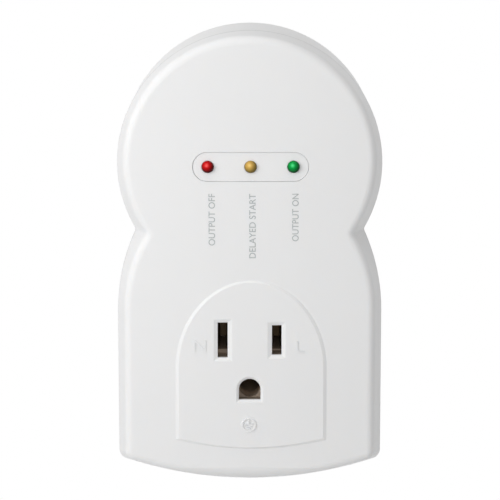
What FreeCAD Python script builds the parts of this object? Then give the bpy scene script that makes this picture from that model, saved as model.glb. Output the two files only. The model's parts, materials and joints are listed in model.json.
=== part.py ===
import FreeCAD, Part
import math
import os

# A plug-in voltage protector for one grounded outlet.
# The origin is on the wall face, midway between the two plug blades.
# +Z is up, +Y goes into the wall, and the front faces -Y. All sizes are in millimetres.

Vec = FreeCAD.Vector
X_AXIS = Vec(1, 0, 0)
Y_AXIS = Vec(0, 1, 0)
Z_AXIS = Vec(0, 0, 1)

# Case outline at the parting plane
half_width = 31.3
lobe_radius = 31.2
lobe_height = 40.6
shoulder_radius = 47.0
shoulder_height = 5.0
notch_radius = 1.0
bottom_drop = 36.2
bottom_radius = 92.0
corner_radius = 2.4

# How the outline changes from the parting plane to the front face
side_draw = 2.3
lobe_draw = 2.1
lobe_lift = 1.8
shoulder_draw = 16.6
shoulder_lift = 3.0
bottom_draw = 2.8

# Case depth and walls
rear_depth = 19.0
front_depth = 9.7
rear_draft = 0.7
rear_lift = 0.6
crown_radius = 490.0
rim_radius = 2.0
rear_rim_radius = 1.0
roll_radius = 3.5
roll_sweep_radius = 112.0
roll_bite = 0.03
wall = 2.0
face_wall = 2.4
seam_width = 0.2
seam_depth = 0.35
lip_height = 1.6
lip_wall = 0.9
fit = 0.1

# Socket panel and the outlet's openings
panel_half_width = 17.85
panel_shift = 0.3
panel_arch_height = -6.9
panel_top = 14.75
panel_side_bottom = -24.3
panel_bottom = -26.85
panel_raise = 0.35
panel_side_bevel = 1.5
panel_end_bevel = 0.95
panel_bevel_depth = 0.7
panel_wall = 1.2
slot_spacing = 12.7
neutral_slot = (2.35, 8.45)
line_slot = (2.25, 7.15)
slot_side_bevel = 1.1
slot_end_bevel = 0.935
slot_bevel_depth = 0.45
ground_drop = 11.9
ground_hole_width = 5.1
ground_hole_drop = 2.5
ground_bevel = 0.6

# Indicator strip and lamps
strip_length = 27.0
strip_height = 6.9
strip_seat = 1.5
strip_gap = 0.07
strip_recess = 0.15
lamp_rise = 0.5
lamp_spacing = 9.95
lamp_shift = 0.2
lamp_diameter = 2.85
lamp_length = 5.3
lamp_proud = 1.15
lamp_flange_diameter = 3.8
lamp_flange_height = 1.0
lamp_lead = 0.5
lamp_lead_spacing = 2.54

# Plug blades and ground pin
blade_thickness = 1.5
blade_height = 6.35
blade_reach = 16.5
blade_tip = 0.8
blade_tip_bevel = 0.45
blade_eye_diameter = 3.0
blade_eye_from_face = 11.5
blade_shoulder = 1.0
blade_shoulder_length = 2.5
tab_step = 0.5
tab_width = 3.3
blade_tab_top = 11.0
pin_diameter = 4.75
pin_reach = 20.5
pin_end_radius = 2.0
pin_collar_diameter = 6.0
pin_flange_diameter = 7.4
pin_flange_length = 1.2
pin_tail_diameter = 3.0

# Contacts and the two insulators that hold them
carrier_half_width = 14.5
carrier_top = 9.5
carrier_bottom = -19.5
insulator_split = 9.5
insertion_depth = 18.2
ground_insertion_depth = 21.2
contact_sheet = 0.5
contact_gap = 1.6
contact_height = 6.0
contact_reach = 12.6
ground_contact_gap = 4.9
ground_contact_height = 4.8
ground_contact_reach = 12.0
ground_bore_diameter = 5.0
ground_lead_in = 2.0
nose_half_width = 10.5
nose_top = 6.8
nose_bottom = -17.0
mouth_opening = 0.7
mouth_length = 1.5
pocket_clearance = 0.25
carrier_wall = 1.5
insulator_edge = 1.0
output_tab_offset = 3.65
output_tab_width = 2.4

# Case screws
upper_screw_inset = 4.63
upper_screw_angle = 39.5
lower_screw_inset = 6.8
lower_screw_rise = 14.2
screw_boss_radius = 4.0
screw_post_radius = 3.4
screw_head_radius = 2.7
screw_head_height = 2.0
screw_shank_radius = 1.5
screw_seat_depth = 10.0
screw_length = 14.0
screw_tip_room = 0.5

# Parts of every screw, as shares of its own head and shank
head_rounding = 0.45
point_bevel = 0.5
recess_reach = 0.55
recess_half_width = 0.14
recess_depth = 0.55

# Circuit board and its screws
board_clearance = 1.5
board_below_centre = 20.6
board_thickness = 1.6
board_front = 20.0
board_to_boss = 0.4
upper_board_screw_inset = 3.3
lower_board_screw_rise = 5.5
lower_board_screw_spread = 18.5
board_screw_radius = 1.0
board_screw_head_radius = 2.1
board_screw_head_height = 1.5
board_screw_length = 7.0
board_screw_play = 0.2
standoff_radius = 2.7
lead_hole_radius = 0.5
close_fit = 0.05

# Relay
relay_width = 15.5
relay_height = 19.2
relay_depth = 15.2
relay_left = -21.0
relay_below_centre = 9.1
relay_wall = 0.8
relay_edge = 0.6
relay_play = 0.3
relay_base_thickness = 1.0
relay_pin_radius = 0.4
relay_pin_spread = 5.0
relay_coil_pin_rise = 2.5
relay_contact_pin_drop = 2.0
relay_pin_overhang = 0.9
coil_offset = 7.2
core_radius = 2.0
core_head_radius = 3.2
core_head_thickness = 0.8
core_rivet_radius = 1.6
bobbin_radius = 5.4
bobbin_tube_radius = 2.7
bobbin_flange = 0.7
winding_radius = 4.8
yoke_sheet = 1.2
yoke_width = 9.0
yoke_foot_margin = 1.5
hinge_rise = 10.6
armature_sheet = 1.0
armature_gap = 0.75
hinge_gap = 0.1
armature_length = 11.0
leaf_sheet = 0.25
leaf_width = 4.0
leaf_length = 15.0
leaf_start = 1.5
rivet_radius = 1.2
rivet_edge = 0.3
rivet_tip = 0.9
rivet_head = 0.3
contact_travel = 1.2
fixed_contact_width = 5.0
fixed_contact_sheet = 0.5
fixed_rivet_height = 0.5
fixed_post_inset = 1.0

# Board parts. Each place is measured right and up from the board's centre.
trimmer_place = (19.3, -0.6)
trimmer_size = 6.6
trimmer_depth = 4.6
trimmer_bevel = 0.4
rotor_radius = 1.9
rotor_height = 1.5
rotor_sunk = 1.0
rotor_slot_width = 0.6
rotor_slot_depth = 0.6

film_place = (0.6, -0.6)
film_width = 7.5
film_depth = 13.0
film_height = 18.0
film_edge = 0.5

large_can_place = (12.0, 9.9)
large_can_radius = 5.0
large_can_height = 12.5
small_can_place = (10.6, -0.9)
small_can_radius = 3.15
small_can_height = 11.0
can_edge = 0.5
can_groove_rise = 1.5
can_groove_width = 0.6
can_groove_depth = 0.35
can_vent_depth = 0.2
can_vent_width = 0.24
can_vent_margin = 1.6

varistor_place = (11.0, -10.1)
varistor_rise = 5.6
varistor_radius = 4.6
varistor_thickness = 4.0
varistor_edge = 1.2
varistor_lead_radius = 0.35
varistor_lead_spacing = 5.0

axial_lead_radius = 0.3
axial_seat = 0.1
fuse_place = (-7.0, -14.0)
fuse_radius = 1.8
fuse_length = 9.0
fuse_lead_span = 11.5
fuse_rounding = 0.7
diode_spread = 8.0
diode_rise = 5.0
diode_pitch = 4.5
diode_radius = 1.35
diode_length = 5.0
diode_lead_span = 8.5
diode_rounding = 0.5
resistor_spacing = 12.0
resistor_rise = 5.7
resistor_pitch = 5.5
resistor_radius = 1.15
resistor_length = 6.3
resistor_lead_span = 9.0
resistor_rounding = 0.45

chip_place = (-1.5, 15.9)
chip_length = 9.6
chip_width = 6.4
chip_thickness = 3.3
chip_seat = 0.5
chip_notch_radius = 0.8
chip_notch_depth = 0.5
chip_leg_pitch = 2.54
chip_leg_width = 0.8
chip_leg_sheet = 0.5
chip_leg_rise = 1.8

transistor_place = (-12.5, 16.4)
transistor_radius = 2.3
transistor_height = 4.6
transistor_flat = 1.3
transistor_seat = 2.0
transistor_leg_pitch = 1.27
transistor_leg = 0.4

# Leads
wire_radius = 0.9
supply_bend = 4.0
output_bend = 2.5
wire_above_edge = 2.0


# Helpers
def box(x0, x1, y0, y1, z0, z1):
    return Part.makeBox(x1 - x0, y1 - y0, z1 - z0, Vec(x0, y0, z0))


def rod(radius, y0, y1, x=0.0, z=0.0):
    return Part.makeCylinder(radius, y1 - y0, Vec(x, y0, z), Y_AXIS)


def line(a, b):
    return Part.LineSegment(a, b).toShape()


def arc(a, middle, b):
    return Part.Arc(a, middle, b).toShape()


def save(shape, name):
    shape = shape.removeSplitter()
    if not shape.isValid():
        print("not valid:", name)
    shape.exportStep("parts/" + name + ".step")
    print(name, len(shape.Solids), round(shape.Volume, 2))


def fused(shapes):
    return shapes[0].multiFuse(shapes[1:]) if len(shapes) > 1 else shapes[0]


# Case sections
class Section:
    """One closed outline of the case, symmetric left and right."""

    def __init__(self, width, lobe, lobe_z, shoulder, shoulder_z, notch, drop, bottom, corner):
        self.width = width
        self.lobe = lobe
        self.lobe_z = lobe_z
        self.shoulder = shoulder
        self.shoulder_z = shoulder_z
        self.notch = notch
        self.drop = drop
        self.bottom = bottom
        self.corner = corner

    def inset(self, d):
        corner = max(self.corner - d, 0.4)
        notch = max(self.notch + d, 0.2)
        return Section(self.width - d, self.lobe - d, self.lobe_z, self.shoulder - d,
                       self.shoulder_z, notch, self.drop - d, self.bottom - d, corner)

    def toward(self, other, t):
        mixed = [a + (b - a) * t for a, b in zip(self.values(), other.values())]
        return Section(*mixed)

    def values(self):
        return [self.width, self.lobe, self.lobe_z, self.shoulder, self.shoulder_z,
                self.notch, self.drop, self.bottom, self.corner]

    def right_points(self, y):
        """The right half's joints between arcs, and the middle of each arc, from the top down."""
        lobe_c = Vec(0, y, self.lobe_z)
        shoulder_c = Vec(self.width - self.shoulder, y, self.shoulder_z)
        notch_c = circles_meet(lobe_c, self.lobe + self.notch, shoulder_c, self.shoulder + self.notch)
        to_lobe = (lobe_c - notch_c).normalize()
        to_shoulder = (shoulder_c - notch_c).normalize()
        lobe_end = notch_c + to_lobe * self.notch
        notch_end = notch_c + to_shoulder * self.notch
        notch_mid = notch_c + (to_lobe + to_shoulder).normalize() * self.notch
        side_top = Vec(self.width, y, self.shoulder_z)
        bottom_c = Vec(0, y, self.bottom - self.drop)
        corner_x = self.width - self.corner
        corner_z = bottom_c.z - math.sqrt((self.bottom - self.corner) ** 2 - corner_x ** 2)
        corner_c = Vec(corner_x, y, corner_z)
        side_end = Vec(self.width, y, corner_z)
        outward = (corner_c - bottom_c).normalize()
        corner_end = corner_c + outward * self.corner
        corner_mid = corner_c + (outward + X_AXIS).normalize() * self.corner
        lobe_mid = on_arc(lobe_c, self.lobe, Vec(0, y, self.lobe_z + self.lobe), lobe_end)
        shoulder_mid = on_arc(shoulder_c, self.shoulder, notch_end, side_top)
        return [Vec(0, y, self.lobe_z + self.lobe), lobe_mid, lobe_end, notch_mid, notch_end,
                shoulder_mid, side_top, side_end, corner_mid, corner_end]

    def wire(self, y):
        r = self.right_points(y)
        m = [Vec(-p.x, p.y, p.z) for p in r]
        bottom = Vec(0, y, -self.drop)
        edges = [arc(r[0], r[1], r[2]), arc(r[2], r[3], r[4]), arc(r[4], r[5], r[6]),
                 line(r[6], r[7]), arc(r[7], r[8], r[9]), arc(r[9], bottom, m[9]),
                 arc(m[9], m[8], m[7]), line(m[7], m[6]), arc(m[6], m[5], m[4]),
                 arc(m[4], m[3], m[2]), arc(m[2], m[1], m[0])]
        return Part.Wire(edges)


def circles_meet(a, ra, b, rb):
    """The outer crossing of two circles in one XZ plane, on the +X side."""
    gap = b - a
    d = gap.Length
    along = (ra * ra - rb * rb + d * d) / (2 * d)
    up = math.sqrt(ra * ra - along * along)
    u = gap.normalize()
    side = Vec(-u.z, 0, u.x)
    if side.x < 0:
        side = side * -1
    return a + u * along + side * up


def on_arc(centre, radius, start, end):
    return centre + ((start - centre).normalize() + (end - centre).normalize()).normalize() * radius


def between(section_a, y_a, section_b, y_b):
    return Part.makeLoft([section_a.wire(y_a), section_b.wire(y_b)], True, True)


parting = Section(half_width, lobe_radius, lobe_height, shoulder_radius, shoulder_height,
                  notch_radius, bottom_drop, bottom_radius, corner_radius)
face_bottom_drop = bottom_drop - bottom_draw
face = Section(half_width - side_draw, lobe_radius - lobe_draw, lobe_height + lobe_lift,
               shoulder_radius - shoulder_draw, shoulder_height + shoulder_lift, notch_radius,
               face_bottom_drop, bottom_radius - bottom_draw, corner_radius)
rear = parting.inset(rear_draft)
rear.lobe_z = lobe_height + rear_lift

y_parting = -rear_depth
y_face = -(rear_depth + front_depth)
y_panel = y_face - panel_raise
y_inside = y_face + face_wall
y_floor = -wall
over = 1.0


def crown(drop):
    """All space behind the crowned front surface, lowered by the given amount."""
    centre = Vec(0, y_face + drop + crown_radius, -2 * bottom_drop)
    tall = 4 * (lobe_height + lobe_radius)
    return Part.makeCylinder(crown_radius, tall, centre, Z_AXIS)


def slab(section, y0, y1):
    return Part.Face(section.wire(y0)).extrude(Vec(0, y1 - y0, 0))


def stadium(length, height, x, z, y0, y1):
    r = height / 2
    h = length / 2 - r
    edges = [line(Vec(x - h, y0, z + r), Vec(x + h, y0, z + r)),
             arc(Vec(x + h, y0, z + r), Vec(x + h + r, y0, z), Vec(x + h, y0, z - r)),
             line(Vec(x + h, y0, z - r), Vec(x - h, y0, z - r)),
             arc(Vec(x - h, y0, z - r), Vec(x - h - r, y0, z), Vec(x - h, y0, z + r))]
    return Part.Face(Part.Wire(edges)).extrude(Vec(0, y1 - y0, 0))


def rectangle(width, height, x, z, y):
    w = width / 2
    h = height / 2
    corners = [Vec(x - w, y, z - h), Vec(x + w, y, z - h), Vec(x + w, y, z + h), Vec(x - w, y, z + h)]
    return Part.makePolygon(corners + corners[:1])


def arch(width, top_z, bottom_z, x, y):
    """An upright opening with a round top and a flat foot."""
    r = width / 2
    c = top_z - r
    return Part.Wire([line(Vec(x - r, y, c), Vec(x - r, y, bottom_z)),
                      line(Vec(x - r, y, bottom_z), Vec(x + r, y, bottom_z)),
                      line(Vec(x + r, y, bottom_z), Vec(x + r, y, c)),
                      arc(Vec(x + r, y, c), Vec(x, y, c + r), Vec(x - r, y, c))])


def sunk(outer_wire, inner_wire):
    return Part.makeLoft([outer_wire, inner_wire], True, True)


# Places shared by pieces that meet
slot_x = slot_spacing / 2
ground_z = -ground_drop
ground_hole_top = ground_z + ground_hole_width / 2
ground_hole_foot = ground_z - ground_hole_drop
neutral_x = -slot_x
line_x = slot_x
upper_screw_reach = lobe_radius - upper_screw_inset
upper_screw_x = upper_screw_reach * math.cos(math.radians(upper_screw_angle))
upper_screw_z = lobe_height + upper_screw_reach * math.sin(math.radians(upper_screw_angle))
lower_screw_x = half_width - lower_screw_inset
lower_screw_z = lower_screw_rise - bottom_drop
case_screws_at = [(-upper_screw_x, upper_screw_z), (upper_screw_x, upper_screw_z),
                  (-lower_screw_x, lower_screw_z), (lower_screw_x, lower_screw_z)]
lamp_height = lobe_height + lamp_rise
lamps_at = [lamp_shift - lamp_spacing, lamp_shift, lamp_shift + lamp_spacing]
lamp_hole_radius = lamp_diameter / 2 + close_fit

board_radius = lobe_radius - rear_draft - wall - board_clearance
board_z = lobe_height
board_bottom = board_z - board_below_centre
board_screws_at = [(0.0, board_z + board_radius - upper_board_screw_inset),
                   (-lower_board_screw_spread, board_bottom + lower_board_screw_rise),
                   (lower_board_screw_spread, board_bottom + lower_board_screw_rise)]
y_board = -board_front
y_board_back = y_board + board_thickness

y_carrier_front = y_inside + fit
y_nose = y_panel + panel_wall + fit
y_carrier_back = -insulator_split
y_pocket = y_carrier_front + carrier_wall
y_retainer_front = y_carrier_back + fit
y_retainer_back = y_floor - fit
y_shoulder = y_retainer_back - fit
y_contact = y_panel + insertion_depth
y_ground_contact = y_panel + ground_insertion_depth
y_ground_pocket = y_ground_contact - ground_contact_reach - pocket_clearance
y_strip_seat = y_face + strip_seat
y_lamp_base = y_face - lamp_proud + lamp_length
y_tab_top = y_shoulder - blade_shoulder_length - tab_step
y_line_inner = y_tab_top - tab_width
blade_half = blade_height / 2

relay_x = relay_left + relay_width / 2
relay_bottom = board_z - relay_below_centre
relay_top = relay_bottom + relay_height
relay_pins_at = [(relay_x - relay_pin_spread, relay_bottom + relay_coil_pin_rise),
                 (relay_x + relay_pin_spread, relay_bottom + relay_coil_pin_rise),
                 (relay_x, relay_bottom + relay_coil_pin_rise),
                 (relay_x, relay_top - relay_contact_pin_drop)]
y_base_top = y_board_back + relay_base_thickness
y_case_top = y_board_back + relay_depth
y_foot = y_base_top + yoke_sheet
y_hinge = y_base_top + hinge_rise
y_core_face = y_hinge - armature_gap
y_armature = y_hinge + hinge_gap
y_leaf = y_armature + armature_sheet
coil_z = relay_bottom + coil_offset
yoke_z = relay_bottom + relay_wall + relay_play
hinge_z = yoke_z + yoke_sheet / 2
rivet_z = hinge_z + leaf_length - rivet_radius - rivet_edge


def on_board(place):
    return place[0], board_z + place[1]


# Case
def front_cover():
    reach = front_depth + over
    tip = parting.toward(face, reach / front_depth)
    outer = between(parting, y_parting, tip, y_parting - reach).common(crown(0))
    rim = [e for e in outer.Edges if e.BoundBox.YMax < y_parting - over]
    outer = outer.makeFillet(rim_radius, rim)
    outer = outer.cut(bottom_roll())
    outer = outer.cut(parting_seam())
    outer = outer.fuse(socket_panel())

    hollow_back = parting.inset(wall)
    hollow_front = face.inset(wall)
    outer = outer.cut(between(hollow_back, y_parting, hollow_front, y_inside))
    rebate = parting.inset(wall - lip_wall - fit)
    outer = outer.cut(slab(rebate, y_parting + over, y_parting - lip_height - fit))

    inside_lip = slab(parting.inset(wall + fit), y_inside - over, y_parting)
    for x, z in case_screws_at:
        post = rod(screw_post_radius, y_inside - over / 2, y_parting, x, z)
        outer = outer.fuse(post.common(inside_lip))
    y_hole = -(screw_seat_depth + screw_length + screw_tip_room)
    for x, z in case_screws_at:
        outer = outer.cut(rod(screw_shank_radius + close_fit, y_hole, y_parting + over, x, z))

    outer = outer.cut(box(-nose_half_width - fit, nose_half_width + fit, y_nose - fit, y_inside + over,
                          nose_bottom - fit, nose_top + fit))
    outer = outer.cut(socket_openings())
    seat = stadium(strip_length, strip_height, lamp_shift, lamp_height, y_face - over, y_strip_seat)
    outer = outer.cut(seat)
    for x in lamps_at:
        outer = outer.cut(rod(lamp_hole_radius, y_face - over, y_inside + over, x, lamp_height))
    return outer


def bottom_roll():
    """What the soft lower edge of the front takes away, as a ring about a far axis.

    Its arc leaves the face and ends along the drafted lower wall."""
    r = roll_radius
    draft = math.atan2(bottom_draw, front_depth)
    y_end = y_face + r - r * math.sin(draft)
    z_end = -face_bottom_drop - (y_end - y_face) * math.tan(draft) + roll_bite
    y_centre = y_face + r
    z_centre = z_end + r * math.cos(draft)
    half_turn = (math.pi / 2 - draft) / 2
    start = Vec(0, y_face, z_centre)
    end = Vec(0, y_end, z_end)
    middle = Vec(0, y_centre - r * math.cos(half_turn), z_centre - r * math.sin(half_turn))
    z_below = z_end - 2 * r
    corners = [end, Vec(0, y_end, z_below), Vec(0, y_face - r, z_below), Vec(0, y_face - r, z_centre), start]
    profile = Part.Wire([arc(start, middle, end)] + [line(a, b) for a, b in zip(corners, corners[1:])])
    axis = Vec(0, 0, z_centre + roll_sweep_radius)
    turn = math.degrees(half_width / roll_sweep_radius) * 1.3
    ring = Part.Face(profile)
    ring.rotate(axis, Y_AXIS, -turn)
    return ring.revolve(axis, Y_AXIS, 2 * turn)


def parting_seam():
    """The fine shadow line that runs round the case where the two covers meet."""
    y_back = y_parting + seam_width / 2
    y_front = y_parting - seam_width / 2
    block = slab(parting.inset(-over), y_back, y_front)
    return block.cut(slab(parting.inset(seam_depth), y_back + over, y_front - over))


def socket_panel():
    """The raised panel. It follows the crown, and its bevel runs down into the face all round."""
    def outline(side, end, y):
        """Straight sides under half an ellipse, with a curved foot, drawn in from the outer edge."""
        r = panel_half_width - side
        left_top = Vec(panel_shift - r, y, panel_arch_height)
        right_top = Vec(panel_shift + r, y, panel_arch_height)
        left_foot = Vec(panel_shift - r, y, panel_side_bottom + end)
        right_foot = Vec(panel_shift + r, y, panel_side_bottom + end)
        top = Vec(panel_shift, y, panel_top - end)
        low = Vec(panel_shift, y, panel_bottom + end)
        ellipse = Part.Ellipse(top, right_top, Vec(panel_shift, y, panel_arch_height))
        arch_edge = Part.ArcOfEllipse(ellipse, -math.pi / 2, math.pi / 2).toShape()
        return Part.Wire([arch_edge, line(right_top, right_foot),
                          arc(right_foot, low, left_foot), line(left_foot, left_top)])

    y_bevel = y_panel + panel_bevel_depth
    y_root = y_inside - over / 2
    root = Part.Face(outline(0, 0, y_root)).extrude(Vec(0, y_bevel - y_root, 0))
    front = outline(panel_side_bevel, panel_end_bevel, y_panel)
    raised = root.fuse(Part.makeLoft([outline(0, 0, y_bevel), front], True, True))
    return raised.common(crown(-panel_raise))


def socket_openings():
    y_in = y_panel + slot_bevel_depth
    through = y_inside + over - y_in

    def opening(mouth, inner):
        """A bevelled mouth, open in front of the crowned panel, and the straight hole behind it."""
        in_front = Part.Face(mouth).extrude(Vec(0, -over, 0))
        return [in_front, sunk(mouth, inner), Part.Face(inner).extrude(Vec(0, through, 0))]

    cuts = []
    for x, (width, height) in ((neutral_x, neutral_slot), (line_x, line_slot)):
        inner = rectangle(width, height, x, 0, y_in)
        mouth = rectangle(width + 2 * slot_side_bevel, height + 2 * slot_end_bevel, x, 0, y_panel)
        cuts += opening(mouth, inner)
    inner = arch(ground_hole_width, ground_hole_top, ground_hole_foot, 0, y_in)
    b = ground_bevel
    mouth = arch(ground_hole_width + 2 * b, ground_hole_top + b, ground_hole_foot - b, 0, y_panel)
    cuts += opening(mouth, inner)
    return fused(cuts)


def rear_cover():
    outer = between(rear, 0, parting, y_parting)
    rim = [e for e in outer.Edges if e.BoundBox.YMin > y_floor]
    outer = outer.makeFillet(rear_rim_radius, rim)
    outer = outer.cut(parting_seam())
    hollow = between(rear.inset(wall), y_floor, parting.inset(wall), y_parting)
    outer = outer.cut(hollow)
    lip_outer = parting.inset(wall - lip_wall)
    lip = slab(lip_outer, y_parting + over, y_parting - lip_height)
    lip = lip.cut(slab(parting.inset(wall), y_parting + 2 * over, y_parting - 2 * lip_height))
    outer = outer.fuse(lip)

    y_boss = y_parting + 2 * fit
    bosses = [rod(screw_boss_radius, y_boss, y_floor + wall / 2, x, z) for x, z in case_screws_at]
    standoffs = [rod(standoff_radius, y_board_back, y_floor + wall / 2, x, z) for x, z in board_screws_at]
    envelope = between(rear.inset(wall / 2), 0, parting.inset(wall / 2), y_parting)
    outer = fused([outer] + [b.common(envelope) for b in bosses] + standoffs)
    for x, z in case_screws_at:
        outer = outer.cut(rod(screw_shank_radius + fit, y_parting - over, over, x, z))
        outer = outer.cut(rod(screw_head_radius + 3 * fit, -screw_seat_depth, over, x, z))
    for x, z in board_screws_at:
        depth = board_screw_length + 2 * fit
        outer = outer.cut(rod(board_screw_radius + close_fit, y_board, y_board_back + depth, x, z))

    blade_gap = 2 * fit
    w = blade_thickness / 2 + blade_gap
    h = blade_half + blade_gap
    for x in (neutral_x, line_x):
        outer = outer.cut(box(x - w, x + w, y_floor - over, over, -h, h))
    return outer.cut(rod(pin_collar_diameter / 2 + blade_gap, y_floor - over, over, 0, ground_z))


def indicator_strip():
    g = 2 * strip_gap
    strip = stadium(strip_length - g, strip_height - g, lamp_shift, lamp_height, y_face - over, y_strip_seat)
    strip = strip.common(crown(strip_recess))
    for x in lamps_at:
        strip = strip.cut(rod(lamp_hole_radius, y_face - over, y_strip_seat + over, x, lamp_height))
    return strip


def lamp(x):
    r = lamp_diameter / 2
    y_dome = y_lamp_base - lamp_length + r
    dome = Part.makeSphere(r, Vec(x, y_dome, lamp_height))
    body = rod(r, y_dome, y_lamp_base, x, lamp_height)
    flange = rod(lamp_flange_diameter / 2, y_lamp_base - lamp_flange_height, y_lamp_base, x, lamp_height)
    return fused([body, dome, flange])


def lamp_leads():
    s = lamp_lead / 2
    leads = []
    for x in lamps_at:
        for side in (-1, 1):
            cx = x + side * lamp_lead_spacing / 2
            leads.append(box(cx - s, cx + s, y_lamp_base, y_board_back, lamp_height - s, lamp_height + s))
    return Part.makeCompound(leads)


# Outlet and plug
def blade(x, y_inner):
    t = blade_thickness / 2
    plate = box(x - t, x + t, y_inner, blade_reach, -blade_half, blade_half)
    tip = [e for e in plate.Edges if e.BoundBox.YMin > blade_reach - 0.01 and e.BoundBox.ZLength > 1]
    plate = plate.makeChamfer(blade_tip_bevel, tip)
    ends = [e for e in plate.Edges if e.BoundBox.XLength > 0.3 and e.BoundBox.YMin > blade_reach - 0.01]
    ends = [e for e in ends if e.BoundBox.ZLength < 0.01]
    plate = plate.makeChamfer(blade_tip, ends)
    h = blade_half + blade_shoulder
    shoulder = box(x - t, x + t, y_shoulder - blade_shoulder_length, y_shoulder, -h, h)
    tab = box(x - t, x + t, y_line_inner, y_tab_top, 0, blade_tab_top)
    plate = fused([plate, shoulder, tab])
    eye = Part.makeCylinder(blade_eye_diameter / 2, 2 * blade_thickness,
                            Vec(x - blade_thickness, blade_eye_from_face, 0), X_AXIS)
    return plate.cut(eye)


def ground_pin():
    shank = rod(pin_diameter / 2, 0, pin_reach, 0, ground_z)
    tip = [e for e in shank.Edges if e.BoundBox.YMin > pin_reach - 0.01]
    shank = shank.makeFillet(pin_end_radius, tip)
    collar = rod(pin_collar_diameter / 2, y_shoulder, 0, 0, ground_z)
    flange = rod(pin_flange_diameter / 2, y_shoulder - pin_flange_length, y_shoulder, 0, ground_z)
    tail = rod(pin_tail_diameter / 2, y_ground_contact + contact_sheet, y_shoulder, 0, ground_z)
    return fused([shank, collar, flange, tail])


def spring_leaf(x, z, side, gap, height, y_root, reach):
    """One leaf, with a mouth that opens outward at its front end."""
    t = contact_sheet
    near = gap / 2
    mouth = near + mouth_opening
    y_end = y_root - reach
    y_bend = y_end + mouth_length
    points = [(near, y_root), (near, y_bend), (mouth, y_end),
              (mouth + t, y_end), (near + t, y_bend), (near + t, y_root)]
    corners = [Vec(x + side * px, py, z - height / 2) for px, py in points]
    return Part.Face(Part.makePolygon(corners + corners[:1])).extrude(Vec(0, 0, height))


def power_contact(x, tab):
    half = contact_gap / 2 + contact_sheet
    h = contact_height / 2
    y0 = y_contact
    y1 = y_contact + contact_sheet
    leaves = [spring_leaf(x, 0, s, contact_gap, contact_height, y0, contact_reach) for s in (-1, 1)]
    parts = leaves + [box(x - half, x + half, y0, y1, -h, h)]
    if tab:
        tx = x + output_tab_offset
        w = output_tab_width / 2
        parts.append(box(x, tx + w, y0, y1, -h, h))
        parts.append(box(tx - w, tx + w, y0, y1, 0, blade_tab_top))
    return fused(parts)


def ground_contact():
    half = ground_contact_gap / 2 + contact_sheet
    h = ground_contact_height / 2
    y0 = y_ground_contact
    leaves = [spring_leaf(0, ground_z, s, ground_contact_gap, ground_contact_height, y0, ground_contact_reach)
              for s in (-1, 1)]
    return fused(leaves + [box(-half, half, y0, y0 + contact_sheet, ground_z - h, ground_z + h)])


def contact_carrier():
    block = box(-carrier_half_width, carrier_half_width, y_carrier_front, y_carrier_back,
                carrier_bottom, carrier_top)
    edges = [e for e in block.Edges if e.BoundBox.YLength > 5]
    block = block.makeFillet(insulator_edge, edges)
    block = block.fuse(box(-nose_half_width, nose_half_width, y_nose, y_pocket, nose_bottom, nose_top))
    c = pocket_clearance
    leaf_half = contact_gap / 2 + mouth_opening + contact_sheet + c
    h = contact_height / 2 + c
    cuts = []
    for x, (width, height) in ((neutral_x, neutral_slot), (line_x, line_slot)):
        opening = rectangle(width, height, x, 0, y_nose - over)
        cuts.append(Part.Face(opening).extrude(Vec(0, y_pocket - y_nose + 2 * over, 0)))
        cuts.append(box(x - leaf_half, x + leaf_half, y_pocket, y_carrier_back + over, -h, h))
    tx = line_x + output_tab_offset
    w = output_tab_width / 2 + c
    cuts.append(box(line_x, tx + w, y_contact - c, y_carrier_back + over, -h, h))
    cuts.append(box(tx - w, tx + w, y_contact - c, y_carrier_back + over, 0, carrier_top + over))
    r = ground_bore_diameter / 2
    g = ground_contact_gap / 2 + mouth_opening + contact_sheet + c
    gh = ground_contact_height / 2 + c
    lead_in = arch(ground_hole_width, ground_hole_top, ground_hole_foot, 0, y_nose - over)
    cuts.append(Part.Face(lead_in).extrude(Vec(0, ground_lead_in + over, 0)))
    cuts.append(rod(r, y_nose, y_ground_pocket + over, 0, ground_z))
    cuts.append(box(-g, g, y_ground_pocket, y_carrier_back + over, ground_z - gh, ground_z + gh))
    return block.cut(fused(cuts))


def blade_retainer():
    block = box(-carrier_half_width, carrier_half_width, y_retainer_front, y_retainer_back,
                carrier_bottom, carrier_top)
    edges = [e for e in block.Edges if e.BoundBox.YLength > 5]
    block = block.makeFillet(insulator_edge, edges)
    c = pocket_clearance
    t = blade_thickness / 2 + c
    h = blade_half + c
    hs = h + blade_shoulder
    y_step = y_shoulder - blade_shoulder_length - c
    y_line_end = y_line_inner - c
    cuts = [box(neutral_x - t, neutral_x + t, y_retainer_front - over, 0, -h, h)]
    cuts.append(box(line_x - t, line_x + t, y_line_end, 0, -h, h))
    for x in (neutral_x, line_x):
        cuts.append(box(x - t, x + t, y_step, 0, -hs, hs))
        cuts.append(box(x - t, x + t, y_line_end, y_step + over, 0, carrier_top + over))
    cuts.append(rod(pin_tail_diameter / 2 + c, y_retainer_front - over, 0, 0, ground_z))
    cuts.append(rod(pin_flange_diameter / 2 + c, y_shoulder - pin_flange_length - c, 0, 0, ground_z))
    g = ground_contact_gap / 2 + contact_sheet + c
    gh = ground_contact_height / 2 + c
    y_web = y_ground_contact + contact_sheet
    cuts.append(box(-g, g, y_retainer_front - over, y_web, ground_z - gh, ground_z + gh))
    return block.cut(fused(cuts))


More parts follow.
